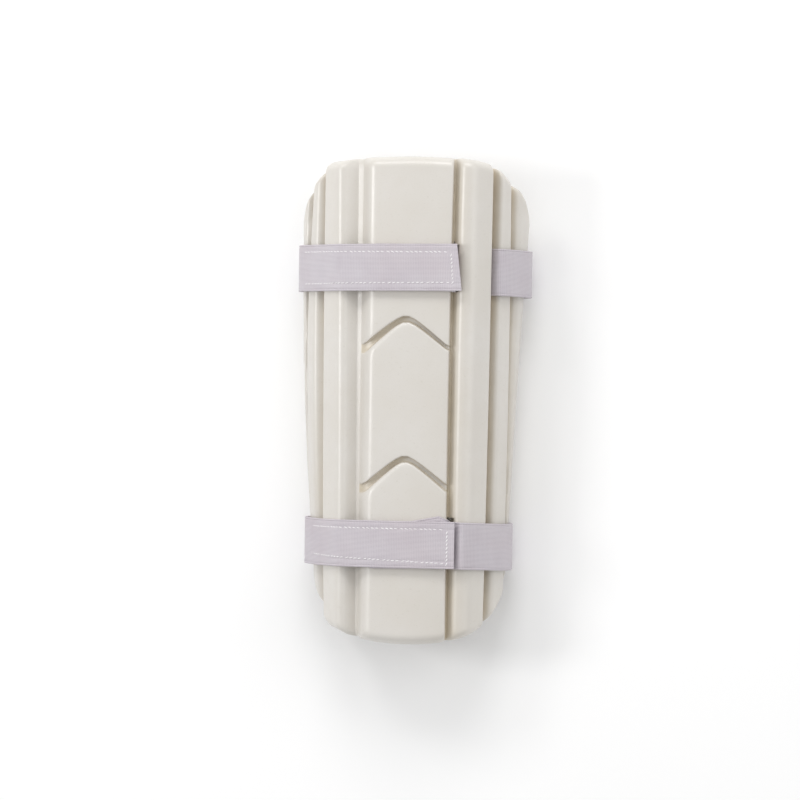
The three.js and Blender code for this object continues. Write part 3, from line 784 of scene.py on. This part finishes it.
# share of the length: how far the band strays towards the elbow there, in millimetres
UPPER_DRIFT = [
    (0.0, 0.0),
    (0.1, 0.0),
    (0.2, -1.6),
    (0.3, -2.6),
    (0.4, -2.6),
    (0.62, -0.6),
    (0.8, -0.4),
    (1.0, 0.2),
]
LOWER_DRIFT = [
    (0.0, -1.6),
    (0.06, -1.4),
    (0.11, 1.8),
    (0.135, -1.2),
    (0.25, -2.2),
    (0.4, -1.6),
    (0.62, 0.4),
    (0.75, -0.8),
    (1.0, -1.2),
]
upper = build_strap("upper_band", "upper_strap", UPPER_STRAP_Y, UPPER_DRIFT, 0.79, 0.0016, 0.0028)
lower = build_strap("lower_band", "lower_strap", LOWER_STRAP_Y, LOWER_DRIFT, 0.77, 0.0009, 0.0)
print("bands", len(upper[0].data.polygons), "and", len(lower[0].data.polygons), "faces")

# %% [markdown]
# ## Stitches
# On the real guard a fastening patch is sewn on behind the end of each strap: a row of stitches runs along
# both edges and one across the end. One stitch is modelled as a stretched ball of thread, sunk half into
# the band, and copied along the rows. Every row leans its stitches a little, as a sewing machine does.

# %% One stitch and its copies
STITCH_LENGTH = 0.0021
STITCH_PITCH = 0.0026
THREAD_WIDTH = 0.00056
STITCH_LEAN = math.radians(14)
END_ROW_LEAN = math.radians(62)


def one_stitch():
    bpy.ops.object.select_all(action="DESELECT")
    bpy.ops.mesh.primitive_uv_sphere_add(segments=8, ring_count=6, radius=STITCH_LENGTH / 2)
    stitch = bpy.context.object
    stitch.scale = (1, THREAD_WIDTH / STITCH_LENGTH, THREAD_WIDTH / STITCH_LENGTH)
    bpy.ops.object.transform_apply(location=False, rotation=False, scale=True)
    bpy.ops.object.shade_smooth()
    return stitch


def stitch_rows(sewn_length, low_row, high_row):
    """Gap from the free end, distance across the band and lean of every stitch."""
    places = []
    for gap in np.arange(END_STITCH_GAP + STITCH_PITCH, sewn_length, STITCH_PITCH):
        share = gap / sewn_length
        places.append((gap, low_row[0] + (low_row[1] - low_row[0]) * share, STITCH_LEAN))
        from_edge = high_row[0] + (high_row[1] - high_row[0]) * share
        places.append((gap + STITCH_PITCH / 3, BAND_WIDTH - from_edge, -STITCH_LEAN))
    for across in np.arange(low_row[0], BAND_WIDTH - high_row[0], STITCH_PITCH * 0.8):
        places.append((END_STITCH_GAP, across, END_ROW_LEAN))
    return places


def sew(name, strap, strap_y, places):
    """Copies the stitch onto the outer face of a strap, at every place."""
    band, arc, line, ahead, out, strays, raised, slant = strap
    model = one_stitch()
    copies = []
    for number, (gap, across, lean) in enumerate(places):
        at = arc[-1] - gap
        i = min(int(np.searchsorted(arc, at)), len(arc) - 1)
        lean = lean + 0.12 * math.sin(number * 2.4)
        lift = BAND_THICKNESS / 2 + raised(gap) + looseness(line[i]) - THREAD_WIDTH * 0.1
        shift = slant * (0.5 - across / BAND_WIDTH) * np.clip(1 - gap / SLANT_LENGTH, 0, 1) ** 2
        x, z = line[i] + out[i] * lift
        place = Vector((x + shift, strap_y - BAND_WIDTH / 2 + across + np.interp(at, arc, strays), z))
        forward = Vector((ahead[i, 0], 0, ahead[i, 1]))
        normal = Vector((out[i, 0], 0, out[i, 1]))
        aside = normal.cross(forward)
        along = forward * math.cos(lean) + aside * math.sin(lean)
        turned = Matrix((along, normal.cross(along), normal)).transposed().to_4x4()
        copy = model.copy()
        copy.data = model.data.copy()
        bpy.context.scene.collection.objects.link(copy)
        copy.data.transform(Matrix.Translation(place) @ turned)
        copies.append(copy)
    bpy.data.objects.remove(model)
    bpy.ops.object.select_all(action="DESELECT")
    for copy in copies:
        copy.select_set(True)
    bpy.context.view_layer.objects.active = copies[0]
    bpy.ops.object.join()
    rows = bpy.context.object
    rows.name = rows.data.name = name
    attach(rows, "root")
    print(name, "has", len(places), "stitches and", len(rows.data.polygons), "faces")
    return rows


upper_rows = stitch_rows(0.096, (0.0044, 0.0040), (0.0044, 0.0040))
lower_rows = stitch_rows(0.090, (0.0026, 0.0060), (0.0042, 0.0042))
upper_stitches = sew("upper_stitches", upper, UPPER_STRAP_Y, upper_rows)
lower_stitches = sew("lower_stitches", lower, LOWER_STRAP_Y, lower_rows)

# %% [markdown]
# ## Smooth skin
# All three meshes are fine enough to be shaded smooth, with an angle limit for the cut edges.

# %% Smooth shading
for piece in (shell, upper[0], lower[0]):
    bpy.ops.object.select_all(action="DESELECT")
    piece.select_set(True)
    bpy.context.view_layer.objects.active = piece
    bpy.ops.object.shade_smooth_by_angle(angle=math.radians(50))

# %% [markdown]
# ## Shared effects
# Grain, soft clouds and the ribs of a woven band are needed in more than one place or with more than one
# strength. Each is a node group: it takes a place and a few numbers, and puts out a mask or a height that
# any material can use.


# %% Node helpers
def linear(red, green, blue):
    """A colour as seen on a screen, 0 to 255, as the linear values that nodes take."""
    shares = [value / 255 for value in (red, green, blue)]
    return [s / 12.92 if s <= 0.04045 else ((s + 0.055) / 1.055) ** 2.4 for s in shares] + [1.0]


def feed(tree, socket, value):
    """Links a socket, or sets it to a number or colour."""
    if isinstance(value, bpy.types.NodeSocket):
        tree.links.new(value, socket)
    else:
        socket.default_value = value


def mix_colour(tree, share, first, second):
    mix = tree.nodes.new("ShaderNodeMix")
    mix.data_type = "RGBA"
    for number, value in ((0, share), (6, first), (7, second)):
        feed(tree, mix.inputs[number], value)
    return mix.outputs[2]


def calculate(tree, operation, first, second=0.0):
    node = tree.nodes.new("ShaderNodeMath")
    node.operation = operation
    feed(tree, node.inputs[0], first)
    feed(tree, node.inputs[1], second)
    return node.outputs[0]


def ramp(tree, value, low, high):
    node = tree.nodes.new("ShaderNodeMapRange")
    feed(tree, node.inputs["Value"], value)
    node.inputs["From Min"].default_value = low
    node.inputs["From Max"].default_value = high
    return node.outputs["Result"]


def noise(tree, vector, scale, detail):
    node = tree.nodes.new("ShaderNodeTexNoise")
    feed(tree, node.inputs["Vector"], vector)
    feed(tree, node.inputs["Scale"], scale)
    node.inputs["Detail"].default_value = detail
    return node.outputs["Fac"]


def new_group(name, inputs, outputs):
    """A node group with vector or number inputs and number outputs."""
    tree = bpy.data.node_groups.new(name, "ShaderNodeTree")
    for socket, kind in inputs:
        tree.interface.new_socket(socket, in_out="INPUT", socket_type=kind)
    for socket in outputs:
        tree.interface.new_socket(socket, in_out="OUTPUT", socket_type="NodeSocketFloat")
    return tree, tree.nodes.new("NodeGroupInput").outputs, tree.nodes.new("NodeGroupOutput").inputs


def use_group(tree, group, **values):
    node = tree.nodes.new("ShaderNodeGroup")
    node.node_tree = group
    for name, value in values.items():
        feed(tree, node.inputs[name], value)
    return node.outputs


# %% Soft clouds
PLACE_AND_SCALE = [("Place", "NodeSocketVector"), ("Scale", "NodeSocketFloat")]


def clouds_group():
    tree, given, result = new_group("soft clouds", PLACE_AND_SCALE, ["Mask"])
    feed(tree, result["Mask"], ramp(tree, noise(tree, given["Place"], given["Scale"], 3), 0.35, 0.68))
    return tree


# %% Skin grain
def grain_group():
    """Cells of a moulded skin, with a few dark pores."""
    tree, given, result = new_group("skin grain", PLACE_AND_SCALE, ["Height", "Pores"])
    cells = tree.nodes.new("ShaderNodeTexVoronoi")
    cells.feature = "DISTANCE_TO_EDGE"
    feed(tree, cells.inputs["Vector"], given["Place"])
    feed(tree, cells.inputs["Scale"], given["Scale"])
    fine = noise(tree, given["Place"], calculate(tree, "MULTIPLY", given["Scale"], 0.55), 2)
    bumps = calculate(tree, "MULTIPLY", fine, 0.9)
    feed(tree, result["Height"], calculate(tree, "ADD", ramp(tree, cells.outputs["Distance"], 0, 0.3), bumps))
    feed(tree, result["Pores"], ramp(tree, fine, 0.62, 0.8))
    return tree


# %% Ribs of a woven band
RIB_PITCH = 0.00066
PICK_PITCH = 0.0009


def weave_group():
    """Lengthwise ribs crossed by fainter picks, and a mask of the valleys between the ribs for painted shade.
    """
    distances = [("Along", "NodeSocketFloat"), ("Across", "NodeSocketFloat")]
    tree, given, result = new_group("ribbed weave", distances, ["Height", "Valley_shade"])
    ribs = calculate(tree, "SINE", calculate(tree, "MULTIPLY", given["Across"], 2 * math.pi / RIB_PITCH))
    picks = calculate(tree, "SINE", calculate(tree, "MULTIPLY", given["Along"], 2 * math.pi / PICK_PITCH))
    weave = calculate(tree, "ADD", ribs, calculate(tree, "MULTIPLY", picks, 0.35))
    feed(tree, result["Height"], weave)
    feed(tree, result["Valley_shade"], ramp(tree, weave, -0.1, -1.2))
    return tree


CLOUDS, GRAIN, WEAVE = clouds_group(), grain_group(), weave_group()
print("groups:", [group.name for group in (CLOUDS, GRAIN, WEAVE)])

# %% [markdown]
# ## Materials
# The foam has a satin skin with a very fine grain. It was white once and is now a warm grey. Its grooves
# get a brownish tone that is partly yellowed foam and partly painted shade. The elastic is matt and
# slightly lilac, with painted shade between its ribs, and the sunk lines beside the cords at its edges
# look darker. The thread is the same white as new elastic.


# %% Foam skin material
def new_material(name):
    material = bpy.data.materials.new(name)
    material.use_nodes = True
    nodes = material.node_tree.nodes
    return material, nodes, material.node_tree, nodes["Principled BSDF"]


def add_bump(tree, shader, height, strength, distance):
    bump = tree.nodes.new("ShaderNodeBump")
    bump.inputs["Strength"].default_value = strength
    bump.inputs["Distance"].default_value = distance
    feed(tree, bump.inputs["Height"], height)
    feed(tree, shader.inputs["Normal"], bump.outputs["Normal"])


def foam_skin():
    material, nodes, tree, shader = new_material("foam_skin")
    place = nodes.new("ShaderNodeTexCoord").outputs["Object"]
    # The shell's attribute says where the brownish tone goes: yellowed foam and painted shade in the grooves
    stain_and_shade = nodes.new("ShaderNodeAttribute")
    stain_and_shade.attribute_name = "stain_and_shade"
    wide = use_group(tree, CLOUDS, Place=place, Scale=22.0)["Mask"]
    small = use_group(tree, CLOUDS, Place=place, Scale=140.0)["Mask"]
    grain = use_group(tree, GRAIN, Place=place, Scale=1500.0)
    base = mix_colour(tree, wide, linear(216, 212, 206), linear(212, 207, 199))
    base = mix_colour(tree, calculate(tree, "MULTIPLY", small, 0.25), base, linear(209, 204, 195))
    base = mix_colour(tree, calculate(tree, "MULTIPLY", grain["Pores"], 0.35), base, linear(192, 186, 174))
    # Brownish colour for the grooves, partly yellowed foam and partly painted shade
    tan_stain_and_shade = mix_colour(tree, small, linear(196, 178, 140), linear(182, 161, 120))
    strength = calculate(tree, "ADD", calculate(tree, "MULTIPLY", wide, 0.2), 0.5)
    amount = calculate(tree, "MULTIPLY", stain_and_shade.outputs["Fac"], strength)
    feed(tree, shader.inputs["Base Color"], mix_colour(tree, amount, base, tan_stain_and_shade))
    roughness = calculate(tree, "ADD", calculate(tree, "MULTIPLY", small, 0.06), 0.30)
    feed(tree, shader.inputs["Roughness"], roughness)
    shader.inputs["Specular IOR Level"].default_value = 0.95
    add_bump(tree, shader, grain["Height"], 0.16, 0.0001)
    return material


# %% Elastic and thread materials
def elastic():
    material, nodes, tree, shader = new_material("elastic")
    uv = nodes.new("ShaderNodeUVMap").outputs["UV"]
    split = nodes.new("ShaderNodeSeparateXYZ")
    feed(tree, split.inputs[0], uv)
    weave = use_group(tree, WEAVE, Along=split.outputs["X"], Across=split.outputs["Y"])
    place = nodes.new("ShaderNodeTexCoord").outputs["Object"]
    cloud = use_group(tree, CLOUDS, Place=place, Scale=70.0)["Mask"]
    stain = use_group(tree, CLOUDS, Place=place, Scale=30.0)["Mask"]
    base = mix_colour(tree, cloud, linear(211, 206, 211), linear(204, 198, 204))
    base = mix_colour(tree, calculate(tree, "MULTIPLY", stain, 0.35), base, linear(203, 190, 194))
    # Painted shade in the valleys between the ribs of the weave
    colour = mix_colour(tree, calculate(tree, "MULTIPLY", weave["Valley_shade"], 0.75), base, linear(162, 154, 163))
    feed(tree, shader.inputs["Base Color"], colour)
    shader.inputs["Roughness"].default_value = 0.85
    shader.inputs["Sheen Weight"].default_value = 0.12
    add_bump(tree, shader, weave["Height"], 0.5, 0.00012)
    return material


def thread():
    material, nodes, tree, shader = new_material("thread")
    place = nodes.new("ShaderNodeTexCoord").outputs["Object"]
    cloud = use_group(tree, CLOUDS, Place=place, Scale=200.0)["Mask"]
    colour = mix_colour(tree, cloud, linear(246, 245, 245), linear(234, 231, 232))
    feed(tree, shader.inputs["Base Color"], colour)
    shader.inputs["Roughness"].default_value = 0.6
    return material


def dress(piece, material):
    piece.data.materials.clear()
    piece.data.materials.append(material)


elastic_material, thread_material = elastic(), thread()
dress(shell, foam_skin())
for piece in (upper[0], lower[0]):
    dress(piece, elastic_material)
for piece in (upper_stitches, lower_stitches):
    dress(piece, thread_material)

# %% [markdown]
# ## Floor and light
# The floor is a plain pale sheet, and an even pale sky gives most of the light. The key light from the left
# is small, so it draws a bright line along each left-facing crest. Two lights from the elbow end shade the
# straps' lower edges and the grooves, and a wide weak one from the right lifts the ribs that face away.


# %% Floor, lights and colour
def add_floor():
    bpy.ops.object.select_all(action="DESELECT")
    bpy.ops.mesh.primitive_plane_add(size=8, location=(0, 0, 0))
    floor = bpy.context.object
    floor.name = "floor"
    material, nodes, tree, shader = new_material("floor")
    shader.inputs["Base Color"].default_value = linear(253, 253, 253)
    shader.inputs["Roughness"].default_value = 0.9
    dress(floor, material)


def add_light(name, place, size, power):
    data = bpy.data.lights.new(name, "AREA")
    data.size = size
    data.energy = power
    light = bpy.data.objects.new(name, data)
    bpy.context.scene.collection.objects.link(light)
    light.location = place
    light.rotation_euler = (Vector((0, 0, 0.03)) - Vector(place)).to_track_quat("-Z", "Y").to_euler()


add_floor()
add_camera(SHIFT)
add_light("key", (-1.35, 0.15, 1.15), 0.4, 7)
add_light("upper left", (-0.8, 1.25, 1.1), 0.4, 5)
add_light("from the elbow end", (0.1, 1.5, 1.15), 0.8, 9)
add_light("from the right", (1.3, 0.4, 1.1), 1.3, 6)
world = bpy.data.worlds.new("pale sky")
bpy.context.scene.world = world
world.use_nodes = True
world.node_tree.nodes["Background"].inputs["Color"].default_value = (1, 1, 1, 1)
world.node_tree.nodes["Background"].inputs["Strength"].default_value = 0.6
bpy.context.scene.view_settings.view_transform = "Standard"
